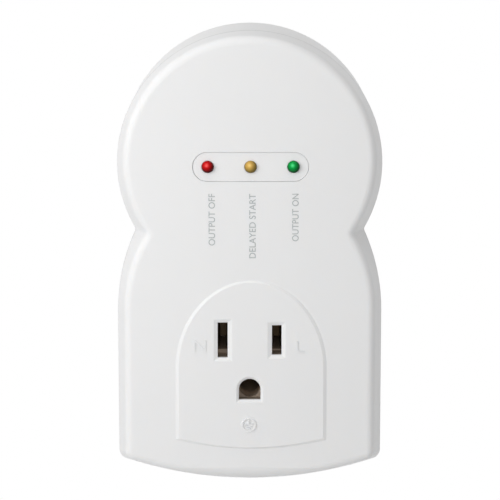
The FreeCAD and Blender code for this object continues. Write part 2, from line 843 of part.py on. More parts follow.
# Board and what stands on it
def circuit_board():
    board = rod(board_radius, y_board, y_board_back, 0, board_z)
    w = 2 * board_radius
    keep = box(-w, w, y_board, y_board_back, board_bottom, board_z + w)
    board = board.common(keep)
    y0 = y_board - over
    y1 = y_board_back + over
    cuts = [rod(screw_boss_radius + board_to_boss, y0, y1, x, z) for x, z in case_screws_at]
    cuts += [rod(board_screw_radius + board_screw_play, y0, y1, x, z) for x, z in board_screws_at]
    for x in lamps_at:
        for side in (-1, 1):
            cuts.append(rod(lead_hole_radius, y0, y1, x + side * lamp_lead_spacing / 2, lamp_height))
    cuts += [rod(lead_hole_radius, y0, y1, x, z) for x, z in relay_pins_at]
    return board.cut(fused(cuts))


def case_screws():
    return Part.makeCompound([screw(x, z, -screw_seat_depth, screw_head_radius, screw_head_height,
                                    screw_shank_radius, screw_length, 1) for x, z in case_screws_at])


def board_screws():
    return Part.makeCompound([screw(x, z, y_board, board_screw_head_radius, board_screw_head_height,
                                    board_screw_radius, board_screw_length + board_thickness, -1)
                              for x, z in board_screws_at])


def screw(x, z, y_seat, head_r, head_h, shank_r, length, head_side):
    """A pan head screw with a cross recess. Its head lies on the given side of the seat."""
    head = Part.makeCylinder(head_r, head_h, Vec(x, y_seat, z), Vec(0, head_side, 0))
    y_top = y_seat + head_side * head_h
    top = [e for e in head.Edges if abs(e.BoundBox.YMin - y_top) < 0.01 and e.BoundBox.YLength < 0.01
           and e.BoundBox.XLength > 1]
    head = head.makeFillet(head_h * head_rounding, top)
    shank = Part.makeCylinder(shank_r, length, Vec(x, y_seat, z), Vec(0, -head_side, 0))
    y_tip = y_seat - head_side * length
    point = [e for e in shank.Edges if abs(e.BoundBox.YMin - y_tip) < 0.01 and e.BoundBox.YLength < 0.01
             and e.BoundBox.XLength > 1]
    shank = shank.makeChamfer(shank_r * point_bevel, point)
    arm = head_r * recess_reach
    slot = head_r * recess_half_width
    deep = head_h * recess_depth
    y0, y1 = sorted((y_top - head_side * deep, y_top + head_side))
    cross = box(x - arm, x + arm, y0, y1, z - slot, z + slot).fuse(
        box(x - slot, x + slot, y0, y1, z - arm, z + arm))
    return head.fuse(shank).cut(cross)


# Relay
def relay_base():
    i = relay_wall + fit
    base = box(relay_left + i, relay_left + relay_width - i, y_board_back, y_base_top,
               relay_bottom + i, relay_top - i)
    return base.cut(fused([rod(relay_pin_radius + close_fit, y_board, y_base_top + over, x, z)
                           for x, z in relay_pins_at]))


def relay_case():
    outer = box(relay_left, relay_left + relay_width, y_board_back, y_case_top, relay_bottom, relay_top)
    soft = [e for e in outer.Edges if e.BoundBox.YMax > y_case_top - 0.01 or e.BoundBox.YLength > 5]
    outer = outer.makeFillet(relay_edge, soft)
    w = relay_wall
    return outer.cut(box(relay_left + w, relay_left + relay_width - w, y_board_back - over, y_case_top - w,
                         relay_bottom + w, relay_top - w))


def relay_pins():
    y0 = y_board - relay_pin_overhang
    return Part.makeCompound([rod(relay_pin_radius, y0, y_base_top, x, z) for x, z in relay_pins_at])


def relay_yoke():
    w = yoke_width / 2
    y0 = y_base_top + fit
    leg = box(relay_x - w, relay_x + w, y0, y_hinge, yoke_z, yoke_z + yoke_sheet)
    foot = box(relay_x - w, relay_x + w, y0, y_foot, yoke_z, coil_z + core_radius + yoke_foot_margin)
    return leg.fuse(foot).cut(rod(core_rivet_radius, y_base_top - over, y_foot + over, relay_x, coil_z))


def relay_core():
    head = rod(core_head_radius, y_core_face - core_head_thickness, y_core_face, relay_x, coil_z)
    body = rod(core_radius, y_foot, y_core_face, relay_x, coil_z)
    rivet = rod(core_rivet_radius, y_base_top + fit, y_foot, relay_x, coil_z)
    return fused([head, body, rivet])


def relay_bobbin():
    y0 = y_foot
    y1 = y_core_face - core_head_thickness
    tube = rod(bobbin_tube_radius, y0, y1, relay_x, coil_z)
    low = rod(bobbin_radius, y0, y0 + bobbin_flange, relay_x, coil_z)
    high = rod(bobbin_radius, y1 - bobbin_flange, y1, relay_x, coil_z)
    clear = box(relay_left, relay_left + relay_width, y0, y1, yoke_z + yoke_sheet + close_fit, relay_top)
    body = fused([tube, low, high]).common(clear)
    return body.cut(rod(core_radius, y0 - over, y1 + over, relay_x, coil_z))


def relay_winding():
    y0 = y_foot + bobbin_flange
    y1 = y_core_face - core_head_thickness - bobbin_flange
    coil = rod(winding_radius, y0, y1, relay_x, coil_z)
    return coil.cut(rod(bobbin_tube_radius, y0 - over, y1 + over, relay_x, coil_z))


def relay_armature():
    w = yoke_width / 2
    return box(relay_x - w, relay_x + w, y_armature, y_armature + armature_sheet, yoke_z,
               yoke_z + armature_length)


def relay_leaf():
    w = leaf_width / 2
    leaf = box(relay_x - w, relay_x + w, y_leaf, y_leaf + leaf_sheet, yoke_z + leaf_start,
               hinge_z + leaf_length)
    rivet = rod(rivet_radius, y_leaf - rivet_tip, y_leaf + leaf_sheet + rivet_head, relay_x, rivet_z)
    return leaf.fuse(rivet)


def relay_fixed_contact():
    w = fixed_contact_width / 2
    t = fixed_contact_sheet
    y_touch = y_leaf - rivet_tip - contact_travel
    y_arm = y_touch - fixed_rivet_height
    z_post = relay_top - relay_wall - fixed_post_inset
    post = box(relay_x - w, relay_x + w, y_base_top, y_arm, z_post - t, z_post)
    arm = box(relay_x - w, relay_x + w, y_arm - t, y_arm, rivet_z - rivet_radius - rivet_edge, z_post)
    rivet = rod(rivet_radius, y_arm, y_touch, relay_x, rivet_z)
    return fused([post, arm, rivet])


# Other board parts
def trimmer_body():
    x, z = on_board(trimmer_place)
    s = trimmer_size / 2
    y1 = y_board_back + trimmer_depth
    body = box(x - s, x + s, y_board_back, y1, z - s, z + s)
    corners = [e for e in body.Edges if e.BoundBox.YLength > 1]
    body = body.makeChamfer(trimmer_bevel, corners)
    return body.cut(rod(rotor_radius + close_fit, y1 - rotor_sunk, y1 + over, x, z))


def trimmer_rotor():
    x, z = on_board(trimmer_place)
    y0 = y_board_back + trimmer_depth - rotor_sunk + close_fit
    y1 = y0 + rotor_height
    w = rotor_slot_width / 2
    slot = box(x - rotor_radius, x + rotor_radius, y1 - rotor_slot_depth, y1 + over, z - w, z + w)
    return rod(rotor_radius, y0, y1, x, z).cut(slot)


def film_capacitor():
    x, z = on_board(film_place)
    w = film_width / 2
    h = film_height / 2
    block = box(x - w, x + w, y_board_back, y_board_back + film_depth, z - h, z + h)
    return block.makeFillet(film_edge, [e for e in block.Edges if e.BoundBox.YMax > y_board_back + 1])


def can(place, radius, height):
    """An upright can with a rolled groove near its foot and a scored top."""
    x, z = on_board(place)
    y_top = y_board_back + height
    body = rod(radius, y_board_back, y_top, x, z)
    body = body.makeFillet(can_edge, [e for e in body.Edges if e.BoundBox.YMin > y_top - 0.01])
    y_groove = y_board_back + can_groove_rise
    ring = rod(radius + over, y_groove, y_groove + can_groove_width, x, z)
    ring = ring.cut(rod(radius - can_groove_depth, y_groove, y_groove + can_groove_width, x, z))
    reach = radius - can_vent_margin
    w = can_vent_width / 2
    vent = box(x - reach, x + reach, y_top - can_vent_depth, y_top + over, z - w, z + w)
    return body.cut(ring).cut(vent)


def electrolytic_capacitors():
    return Part.makeCompound([can(large_can_place, large_can_radius, large_can_height),
                              can(small_can_place, small_can_radius, small_can_height)])


def varistor():
    x, z = on_board(varistor_place)
    y = y_board_back + varistor_rise
    start = Vec(x - varistor_thickness / 2, y, z)
    disc = Part.makeCylinder(varistor_radius, varistor_thickness, start, X_AXIS)
    rims = [e for e in disc.Edges if e.BoundBox.ZLength > 1 and e.BoundBox.XLength < 0.01]
    disc = disc.makeFillet(varistor_edge, rims)
    legs = [rod(varistor_lead_radius, y_board_back, y, x, z + s * varistor_lead_spacing / 2) for s in (-1, 1)]
    return fused([disc] + legs)


def laid_part(x, z, y_seat, side, radius, length, rounding, lead_span):
    """A round part lying along X, with its two leads bent down to the board."""
    y = y_seat + side * (radius + axial_seat)
    body = Part.makeCylinder(radius, length, Vec(x - length / 2, y, z), X_AXIS)
    ends = [e for e in body.Edges if e.BoundBox.YLength > 1 and e.BoundBox.XLength < 0.01]
    body = body.makeFillet(rounding, ends)
    r = axial_lead_radius
    half = lead_span / 2
    wire = Part.makeCylinder(r, lead_span, Vec(x - half, y, z), X_AXIS)
    y0, y1 = sorted((y_seat, y))
    legs = [rod(r, y0, y1, x + s * half, z) for s in (-1, 1)]
    elbows = [Part.makeSphere(r, Vec(x + s * half, y, z)) for s in (-1, 1)]
    return fused([body, wire] + legs + elbows)


def fuse():
    x, z = on_board(fuse_place)
    return laid_part(x, z, y_board_back, 1, fuse_radius, fuse_length, fuse_rounding, fuse_lead_span)


def rectifier_diodes():
    z0 = board_bottom + diode_rise
    places = [(x, z) for x in (-diode_spread, diode_spread) for z in (z0, z0 + diode_pitch)]
    return Part.makeCompound([laid_part(x, z, y_board, -1, diode_radius, diode_length, diode_rounding,
                                        diode_lead_span) for x, z in places])


def resistors():
    z0 = lamp_height + resistor_rise
    places = [(i * resistor_spacing, z) for i in (-1, 0, 1) for z in (z0, z0 + resistor_pitch)]
    return Part.makeCompound([laid_part(x, z, y_board, -1, resistor_radius, resistor_length,
                                        resistor_rounding, resistor_lead_span) for x, z in places])


def comparator_ic():
    """A dual in-line chip with eight legs and the usual notch at its first one."""
    x, z = on_board(chip_place)
    y0 = y_board_back + chip_seat
    y1 = y0 + chip_thickness
    half_length = chip_length / 2
    half_width_z = chip_width / 2
    body = box(x - half_length, x + half_length, y0, y1, z - half_width_z, z + half_width_z)
    body = body.cut(rod(chip_notch_radius, y1 - chip_notch_depth, y1 + over, x - half_length, z))
    legs = []
    for i in range(4):
        leg_x = x + (i - 1.5) * chip_leg_pitch
        w = chip_leg_width / 2
        for s in (-1, 1):
            z0, z1 = sorted((z + s * half_width_z, z + s * (half_width_z + chip_leg_sheet)))
            legs.append(box(leg_x - w, leg_x + w, y_board_back, y0 + chip_leg_rise, z0, z1))
    return fused([body] + legs)


def transistor():
    x, z = on_board(transistor_place)
    r = transistor_radius
    y0 = y_board_back + transistor_seat
    y1 = y0 + transistor_height
    body = rod(r, y0, y1, x, z)
    body = body.cut(box(x - 2 * r, x + 2 * r, y0 - over, y1 + over, z - 2 * r, z - transistor_flat))
    w = transistor_leg / 2
    legs = []
    for i in (-1, 0, 1):
        leg_x = x + i * transistor_leg_pitch
        legs.append(box(leg_x - w, leg_x + w, y_board_back, y0, z - w, z + w))
    return fused([body] + legs)


# Leads
def lead(points, bend):
    """A round wire along straight runs joined by arcs."""
    edges = []
    last = points[0]
    for before, corner, after in zip(points, points[1:], points[2:]):
        into = (corner - before).normalize()
        out = (after - corner).normalize()
        turn = into.getAngle(out)
        cut = bend * math.tan(turn / 2)
        start = corner - into * cut
        end = corner + out * cut
        centre = corner + (out - into).normalize() * (bend / math.cos(turn / 2))
        middle = centre + (corner - centre).normalize() * bend
        edges += [line(last, start), arc(start, middle, end)]
        last = end
    edges.append(line(last, points[-1]))
    path = Part.Wire(edges)
    first = (points[1] - points[0]).normalize()
    profile = Part.Wire(Part.makeCircle(wire_radius, points[0], first))
    tube = path.makePipeShell([profile], True, False)
    print("lead", round(tube.Volume / (math.pi * wire_radius ** 2 * path.Length), 4), round(path.Length, 1))
    return tube


def supply_lead(x):
    y = (y_line_inner + y_tab_top) / 2
    z = board_bottom + wire_above_edge
    return lead([Vec(x, y, blade_tab_top), Vec(x, y, z), Vec(x, y_board_back, z)], supply_bend)


def output_lead():
    x = line_x + output_tab_offset
    y = y_contact + contact_sheet / 2
    z = board_bottom + wire_above_edge
    return lead([Vec(x, y, blade_tab_top), Vec(x, y, z), Vec(x, y_board_back, z)], output_bend)


def build():
    save(front_cover(), "front_cover")
    save(rear_cover(), "rear_cover")
    save(indicator_strip(), "indicator_strip")
    for name, x in zip(("led_red", "led_amber", "led_green"), lamps_at):
        save(lamp(x), name)
    save(lamp_leads(), "led_leads")
    save(blade(neutral_x, y_contact + contact_sheet), "neutral_blade")
    save(blade(line_x, y_line_inner), "line_blade")
    save(ground_pin(), "ground_pin")
    save(power_contact(neutral_x, False), "neutral_contact")
    save(power_contact(line_x, True), "line_contact")
    save(ground_contact(), "ground_contact")
    save(contact_carrier(), "contact_carrier")
    save(blade_retainer(), "blade_retainer")
    save(circuit_board(), "circuit_board")
    save(case_screws(), "case_screws")
    save(board_screws(), "board_screws")
    save(relay_base(), "relay_base")
    save(relay_case(), "relay_case")
    save(relay_pins(), "relay_pins")
    save(relay_yoke(), "relay_yoke")
    save(relay_core(), "relay_core")
    save(relay_bobbin(), "relay_bobbin")
    save(relay_winding(), "relay_winding")
    save(relay_armature(), "relay_armature")
    save(relay_leaf(), "relay_leaf")
    save(relay_fixed_contact(), "relay_fixed_contact")
    save(trimmer_body(), "trimmer_body")
    save(trimmer_rotor(), "trimmer_rotor")
    save(film_capacitor(), "film_capacitor")
    save(electrolytic_capacitors(), "electrolytic_capacitors")
    save(varistor(), "varistor")
    save(fuse(), "fuse")
    save(rectifier_diodes(), "rectifier_diodes")
    save(resistors(), "resistors")
    save(comparator_ic(), "comparator_ic")
    save(transistor(), "transistor")
    save(supply_lead(neutral_x), "neutral_lead")
    save(supply_lead(line_x), "line_input_lead")
    save(output_lead(), "line_output_lead")


os.makedirs("parts", exist_ok=True)
build()
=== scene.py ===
# %% [markdown]
# A plug-in voltage protector, dressed for a studio picture.
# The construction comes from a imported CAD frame, in metres, and this file adds what a camera sees:
# moulded plastic, printed words, plated blades and the light of a product photograph.
# The front looks along -Y, +Z is up and the wall outlet would be on the +Y side.

# %% Load the frame
import json
import math

import bmesh
import bpy
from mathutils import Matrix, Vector


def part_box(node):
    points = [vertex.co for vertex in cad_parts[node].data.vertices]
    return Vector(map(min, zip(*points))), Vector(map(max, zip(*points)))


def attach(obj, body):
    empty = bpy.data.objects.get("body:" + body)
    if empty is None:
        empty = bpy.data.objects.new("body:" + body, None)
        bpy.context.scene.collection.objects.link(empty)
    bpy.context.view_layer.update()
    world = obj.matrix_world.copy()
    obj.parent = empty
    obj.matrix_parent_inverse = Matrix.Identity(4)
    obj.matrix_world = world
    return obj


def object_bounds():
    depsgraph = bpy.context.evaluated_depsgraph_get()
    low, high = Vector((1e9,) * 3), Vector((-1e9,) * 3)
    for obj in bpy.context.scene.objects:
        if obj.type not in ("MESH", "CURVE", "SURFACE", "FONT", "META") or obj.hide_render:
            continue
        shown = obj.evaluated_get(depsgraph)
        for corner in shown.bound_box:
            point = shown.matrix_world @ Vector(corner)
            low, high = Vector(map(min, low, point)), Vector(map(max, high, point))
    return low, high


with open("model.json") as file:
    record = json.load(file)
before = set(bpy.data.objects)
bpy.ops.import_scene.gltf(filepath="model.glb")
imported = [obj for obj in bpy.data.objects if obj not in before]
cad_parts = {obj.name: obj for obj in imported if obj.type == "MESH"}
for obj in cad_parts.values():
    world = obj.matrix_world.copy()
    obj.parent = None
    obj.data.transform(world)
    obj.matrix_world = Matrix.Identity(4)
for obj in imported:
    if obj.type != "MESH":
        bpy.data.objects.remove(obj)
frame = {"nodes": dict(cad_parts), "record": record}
cad_low, cad_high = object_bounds()
nodes = frame["nodes"]
scene = bpy.context.scene
MM = 0.001
print("nodes", len(nodes), "size in mm", [round((b - a) / MM, 1) for a, b in zip(cad_low, cad_high)])

# %% [markdown]
# First the camera, because everything else is judged through it.
# The photograph was taken from about 0.6 m away, straight in front and 11 degrees above the horizon,
# with a long lens.
# The two slots of a grounded outlet are always 12.7 mm apart, so their distance in the picture gives
# the scale of the socket panel, and with the distance it gives the focal length.

# %% Camera
IMAGE_SIZE = 500
IMAGE_OFFSET = 0.3
PIXELS_PER_MM = 4.295
CAMERA_DISTANCE = 0.600
CAMERA_ELEVATION = math.radians(11.0)
AIM = Vector((0.0, -0.029, 0.0216))
SENSOR_WIDTH = 36.0
NEAREST = 0.01

camera_data = bpy.data.cameras.new("camera")
camera = bpy.data.objects.new("camera", camera_data)
scene.collection.objects.link(camera)
image_width_at_aim = IMAGE_SIZE / PIXELS_PER_MM * MM
camera_data.sensor_width = SENSOR_WIDTH
camera_data.lens = SENSOR_WIDTH * CAMERA_DISTANCE / image_width_at_aim
camera_data.shift_x = IMAGE_OFFSET / IMAGE_SIZE
camera_data.clip_start = NEAREST
camera_data.dof.use_dof = False
backward = Vector((0, -math.cos(CAMERA_ELEVATION), math.sin(CAMERA_ELEVATION)))
camera.location = AIM + backward * CAMERA_DISTANCE
camera.rotation_euler = backward.to_track_quat("Z", "Y").to_euler()
scene.camera = camera
print("focal length", round(camera_data.lens, 1), "mm")

# %% [markdown]
# Rooms and finishes are built from nodes. Most of the nodes here are sums, ranges and mixes, so a few
# helpers make them: each takes plain values or the outputs of other nodes and gives back its own output.
# That keeps a recipe as short as the thought behind it.


# %% Helpers for nodes
def feed(tree, socket, value):
    """Links another node's output to a socket, or sets the socket to a plain value."""
    if isinstance(value, bpy.types.NodeSocket):
        tree.links.new(value, socket)
    else:
        socket.default_value = value


def calculate(tree, operation, *values):
    node = tree.nodes.new("ShaderNodeMath")
    node.operation = operation
    for socket, value in zip(node.inputs, values):
        feed(tree, socket, value)
    return node.outputs[0]


def remap(tree, value, low=0.0, high=1.0, start=0.0, end=1.0, way="LINEAR"):
    """Takes a value that runs from start to end, and spreads it from low to high."""
    node = tree.nodes.new("ShaderNodeMapRange")
    node.interpolation_type = way
    ends = {"Value": value, "From Min": start, "From Max": end, "To Min": low, "To Max": high}
    for name, given in ends.items():
        feed(tree, node.inputs[name], given)
    return node.outputs["Result"]


print("helpers", [f.__name__ for f in (feed, calculate, remap)])

# %% [markdown]
# The product photograph stands before pure white. A white world would do, but one that is bright enough
# for the picture also bleaches a white case.
# So the room is white only to the camera, in reflections and through clear things, and it lights the
# object with about half of that. The floor far below does the same, and lifts the underside a little.


# %% White room and floor
ROOM_LIGHT = 0.490
FLOOR_DROP = 0.30
FLOOR_RADIUS = 0.45
FLOOR_SIDES = 96
FLOOR_GREY = 0.9
FLOOR_ROUGHNESS = 0.8
PURE_WHITE = (1, 1, 1, 1)


def seen_directly(tree):
    """A mask that is 1 for camera, glossy and transmission rays."""
    path = tree.nodes.new("ShaderNodeLightPath").outputs
    camera_or_glossy = calculate(tree, "MAXIMUM", path["Is Camera Ray"], path["Is Glossy Ray"])
    return calculate(tree, "MAXIMUM", camera_or_glossy, path["Is Transmission Ray"])


def white_room():
    world = bpy.data.worlds.new("white_room")
    world.use_nodes = True
    tree = world.node_tree
    background = tree.nodes["Background"].inputs
    background["Color"].default_value = PURE_WHITE
    feed(tree, background["Strength"], remap(tree, seen_directly(tree), ROOM_LIGHT, 1.0))
    return world


def pale_floor():
    mesh = bpy.data.meshes.new("floor")
    form = bmesh.new()
    bmesh.ops.create_circle(form, cap_ends=True, segments=FLOOR_SIDES, radius=FLOOR_RADIUS)
    form.to_mesh(mesh)
    form.free()
    floor = bpy.data.objects.new("floor", mesh)
    scene.collection.objects.link(floor)
    floor.location.z = cad_low.z - FLOOR_DROP
    material = bpy.data.materials.new("floor_white")
    material.use_nodes = True
    tree = material.node_tree
    shader = tree.nodes["Principled BSDF"].inputs
    shader["Base Color"].default_value = (FLOOR_GREY, FLOOR_GREY, FLOOR_GREY, 1)
    shader["Roughness"].default_value = FLOOR_ROUGHNESS
    shader["Emission Color"].default_value = PURE_WHITE
    feed(tree, shader["Emission Strength"], seen_directly(tree))
    mesh.materials.append(material)
    return floor


scene.world = white_room()
floor = pale_floor()
print("room", ROOM_LIGHT, "floor at mm", round(floor.location.z / MM))

# %% [markdown]
# Three softboxes light the object: one close on the left, one above and a wide one behind the camera.
# A near lamp falls off across the object, which is why the right of the face is a little darker
# than the left, and the room keeps the shadowed sides pale.
# One large lamp would be simpler, but it leaves the crowned face as flat as paper.


# %% Softboxes
CENTRE = Vector((0, -0.02, 0.03))


def softbox(name, place, size, power):
    lamp = bpy.data.lights.new(name, "AREA")
    lamp.shape = "SQUARE"
    lamp.size = size
    lamp.energy = power
    box = bpy.data.objects.new(name, lamp)
    box.location = place
    box.rotation_euler = (Vector(place) - CENTRE).to_track_quat("Z", "Y").to_euler()
    scene.collection.objects.link(box)
    return box


softboxes = [softbox("key", (-0.26, -0.26, 0.12), 0.18, 0.645),
             softbox("over", (-0.04, -0.14, 0.50), 0.25, 0.370),
             softbox("front", (0, -0.75, 0.10), 0.30, 0.530)]
scene.view_settings.view_transform = "Standard"
print("softboxes in W", {box.name: round(box.data.energy, 3) for box in softboxes})

# %% [markdown]
# Effects that several finishes use are node groups with named inputs and outputs, built once.
# A group hands out a colour, or a colour with a roughness and a normal, and the shader that reads them
# stays in the material. These helpers give a group its sockets, its noise and its usual ending.


# %% Helpers for shared effects
COLOUR = {"Colour": "NodeSocketColor"}
SURFACE = {**COLOUR, "Roughness": "NodeSocketFloat", "Normal": "NodeSocketVector"}
ANY_GREY = (0.8, 0.8, 0.8, 1)


def new_effect(name, inputs, outputs):
    """A node group with named sockets. Each input's kind follows from its first value."""
    tree = bpy.data.node_groups.new(name, "ShaderNodeTree")
    for label, value in inputs.items():
        kind = "Float" if isinstance(value, float) else {3: "Vector", 4: "Color"}[len(value)]
        socket = tree.interface.new_socket(name=label, in_out="INPUT", socket_type="NodeSocket" + kind)
        socket.default_value = value
    for label, kind in outputs.items():
        tree.interface.new_socket(name=label, in_out="OUTPUT", socket_type=kind)
    given = tree.nodes.new("NodeGroupInput").outputs
    result = tree.nodes.new("NodeGroupOutput").inputs
    place = tree.nodes.new("ShaderNodeTexCoord").outputs["Object"]
    return tree, given, result, place


def noise(tree, place, scale, detail=2.0, roughness=0.5):
    texture = tree.nodes.new("ShaderNodeTexNoise")
    values = {"Vector": place, "Scale": scale, "Detail": detail, "Roughness": roughness}
    for name, value in values.items():
        feed(tree, texture.inputs[name], value)
    return texture.outputs["Fac"]


def mix(tree, amount, first, second, way="MIX"):
    node = tree.nodes.new("ShaderNodeMix")
    node.data_type = "RGBA"
    node.blend_type = way
    for name, value in {"Factor": amount, "A": first, "B": second}.items():
        feed(tree, node.inputs[name], value)
    return node.outputs["Result"]


def end_surface(tree, given, result, unevenness, spread, relief, height):
    """A roughness that wanders by the spread either way, and a normal from a relief."""
    wander = remap(tree, unevenness, -spread, spread)
    feed(tree, result["Roughness"], calculate(tree, "ADD", given["Roughness"], wander))
    bump = tree.nodes.new("ShaderNodeBump")
    feed(tree, bump.inputs["Height"], relief)
    feed(tree, bump.inputs["Distance"], height)
    feed(tree, result["Normal"], bump.outputs["Normal"])


print("surface outputs", list(SURFACE))

# %% [markdown]
# Every moulded piece shows the fine, even grain that a spark-eroded mould leaves, with a faint drift of
# tone from one flow of plastic to the next.
# A picture of plastic could be wrapped round, but a noise has no seams and fits every size of piece.


# %% Moulded grain
FLOW_SCALE = 0.012
GRAIN_SPREAD = 0.06


def moulded_grain():
    inputs = {"Colour": ANY_GREY, "Drift": 0.03, "Roughness": 0.45,
              "Grains per metre": 5000.0, "Grain height": 0.000006}
    tree, given, result, place = new_effect("Moulded grain", inputs, SURFACE)
    grain = noise(tree, place, given["Grains per metre"], detail=3.0, roughness=0.6)
    flow = noise(tree, place, calculate(tree, "MULTIPLY", given["Grains per metre"], FLOW_SCALE))
    tone = tree.nodes.new("ShaderNodeHueSaturation")
    off_middle = calculate(tree, "SUBTRACT", flow, 0.5)
    feed(tree, tone.inputs["Value"], calculate(tree, "MULTIPLY_ADD", off_middle, given["Drift"], 1.0))
    feed(tree, tone.inputs["Color"], given["Colour"])
    feed(tree, result["Colour"], tone.outputs["Color"])
    end_surface(tree, given, result, flow, GRAIN_SPREAD, grain, given["Grain height"])
    return tree


GRAIN = moulded_grain()
print("group", GRAIN.name)

# %% [markdown]
# Blades, contacts and wires are rolled or drawn, which leaves fine lines along one axis.
# Stretching the noise along that axis draws them, and a coarse, brown-tinted noise adds the dull
# patches of metal that was handled.


# %% Drawn metal
TARNISH_TINT = (0.55, 0.48, 0.40, 1)
PATCH_SCALE = 0.05
LINE_SPREAD = 0.08


def drawn_metal():
    inputs = {"Colour": ANY_GREY, "Tarnish": 0.1, "Roughness": 0.3, "Stretch": (1.0, 0.05, 1.0),
              "Lines per metre": 9000.0, "Line height": 0.000002}
    tree, given, result, place = new_effect("Drawn metal", inputs, SURFACE)
    stretched = tree.nodes.new("ShaderNodeVectorMath")
    stretched.operation = "MULTIPLY"
    feed(tree, stretched.inputs[0], place)
    feed(tree, stretched.inputs[1], given["Stretch"])
    lines = noise(tree, stretched.outputs[0], given["Lines per metre"])
    patch_scale = calculate(tree, "MULTIPLY", given["Lines per metre"], PATCH_SCALE)
    patches = noise(tree, place, patch_scale, detail=3.0, roughness=0.6)
    amount = calculate(tree, "MULTIPLY", patches, given["Tarnish"])
    feed(tree, result["Colour"], mix(tree, amount, given["Colour"], TARNISH_TINT, "MULTIPLY"))
    end_surface(tree, given, result, lines, LINE_SPREAD, lines, given["Line height"])
    return tree


DRAWN = drawn_metal()
print("group", DRAWN.name)

# %% [markdown]
# The three lamps are tinted epoxy domes and are off. Their colour carries a painted highlight, a pale
# spot where the key lamp shines, and painted shade, a deeper colour towards the rim and lower right.
# Real glass would need a cup and a chip within a dome of 3 mm, for a few pixels.
# A colour that follows the distance from a point beside the lamp's own axis looks the same from here.


# %% Lens painted light
LENS_RIPPLES = 900.0
LENS_RIPPLE_HEIGHT = 0.000004
LENS_SPREAD = 0.04
SIDEWAYS = (1.0, 0.0, 1.0)


def lens_painted_light():
    inputs = {"Colour": ANY_GREY, "Deep colour": (0.2, 0.2, 0.2, 1), "Cup colour": (0.9, 0.9, 0.9, 1),
              "Cup radius": 0.0005, "Bright point": (0.0, 0.0, 0.0), "Clear radius": 0.0006,
              "Deep radius": 0.0016, "Roughness": 0.2}
    tree, given, result, place = new_effect("Lens depth", inputs, SURFACE)
    offset, flat, distance = (tree.nodes.new("ShaderNodeVectorMath") for _ in range(3))
    offset.operation = "SUBTRACT"
    feed(tree, offset.inputs[0], place)
    feed(tree, offset.inputs[1], given["Bright point"])
    flat.operation = "MULTIPLY"
    feed(tree, flat.inputs[0], offset.outputs[0])
    feed(tree, flat.inputs[1], SIDEWAYS)
    distance.operation = "LENGTH"
    feed(tree, distance.inputs[0], flat.outputs[0])
    away = distance.outputs["Value"]
    # Painted shade: the colour deepens with the distance from the bright point, most at the rim and
    # lower right.
    depth = remap(tree, away, 0.0, 1.0, given["Clear radius"], given["Deep radius"], "SMOOTHSTEP")
    shade = mix(tree, depth, given["Colour"], given["Deep colour"])
    # Painted highlight: a pale spot round the bright point.
    highlight_mask = remap(tree, away, 1.0, 0.0, 0.0, given["Cup radius"], "SMOOTHSTEP")
    feed(tree, result["Colour"], mix(tree, highlight_mask, shade, given["Cup colour"]))
    ripple = noise(tree, place, LENS_RIPPLES)
    end_surface(tree, given, result, ripple, LENS_SPREAD, ripple, LENS_RIPPLE_HEIGHT)
    return tree


LENS = lens_painted_light()
print("group", LENS.name)

# %% [markdown]
# Two more groups only change a colour by the depth behind the front.
# Depth tone makes the insulators paler deeper in: painted light for the light that reaches the slot
# floors, while at the openings they keep the compound's dark brown.
# Seam shade is painted shade: the soft dark line of shadow where the two covers meet.
# Both read the place along Y, so they need no painted maps.


# %% Depth tone and seam shade
def depth_of(tree, place):
    split = tree.nodes.new("ShaderNodeSeparateXYZ")
    feed(tree, split.inputs[0], place)
    return split.outputs["Y"]


# A colour that changes with depth along Y. The insulators use it for painted light.
def depth_tone():
    inputs = {"Front colour": (0.2, 0.2, 0.2, 1), "Deep colour": (0.6, 0.6, 0.6, 1),
              "Front": 0.0, "Deep": 0.01}
    tree, given, result, place = new_effect("Depth tone", inputs, COLOUR)
    depth = remap(tree, depth_of(tree, place), start=given["Front"], end=given["Deep"])
    feed(tree, result["Colour"], mix(tree, depth, given["Front colour"], given["Deep colour"]))
    return tree


# Painted shade: a colour darkened near one depth along Y, for the shadow in a seam.
def seam_shade():
    inputs = {"Colour": ANY_GREY, "Seam colour": (0.6, 0.6, 0.6, 1),
              "Seam depth": 0.0, "Half width": 0.0005}
    tree, given, result, place = new_effect("Seam shade", inputs, COLOUR)
    beside = calculate(tree, "SUBTRACT", depth_of(tree, place), given["Seam depth"])
    away = calculate(tree, "ABSOLUTE", beside)
    near = remap(tree, away, 1.0, 0.0, 0.0, given["Half width"], "SMOOTHSTEP")
    feed(tree, result["Colour"], mix(tree, near, given["Colour"], given["Seam colour"]))
    return tree


DEPTH = depth_tone()
SEAM = seam_shade()
print("groups", [g.name for g in (DEPTH, SEAM)])

# %% [markdown]
# A finish is a material whose Principled shader reads one of these groups.
# The three helpers make the material, place a group in it with the finish's own values, and connect
# the group's colour, roughness and normal to the shader.


# %% Helpers for finishes
def new_material(name):
    material = bpy.data.materials.new(name)
    material.use_nodes = True
    return material, material.node_tree, material.node_tree.nodes["Principled BSDF"].inputs


def add_group(tree, group, values):
    """Places a group with its own values. Colours are given as three numbers."""
    node = tree.nodes.new("ShaderNodeGroup")
    node.node_tree = group
    for name, value in values.items():
        socket = node.inputs[name]
        socket.default_value = (*value, 1) if socket.type == "RGBA" else value
    return node


def dress(tree, group, shader, values):
    """Feeds a group's colour, roughness and normal to the shader."""
    surface = add_group(tree, group, values).outputs
    feed(tree, shader["Base Color"], surface["Colour"])
    feed(tree, shader["Roughness"], surface["Roughness"])
    feed(tree, shader["Normal"], surface["Normal"])


print("helpers", [f.__name__ for f in (new_material, add_group, dress)])

# %% [markdown]
# Plastics are dielectrics with the mould's grain. White ones also let a little light under the skin.
# Each is one call with its own colour, roughness and grain, so a new plastic is one more line.
# Lengths here are metres: a grain of 6 millionths is 6 thousandths of a millimetre high.


# %% Plastics
PLASTIC_IOR = 1.52
SCATTER_COLOURS = (1.0, 0.9, 0.8)
SCATTER_DEPTH = 0.0006


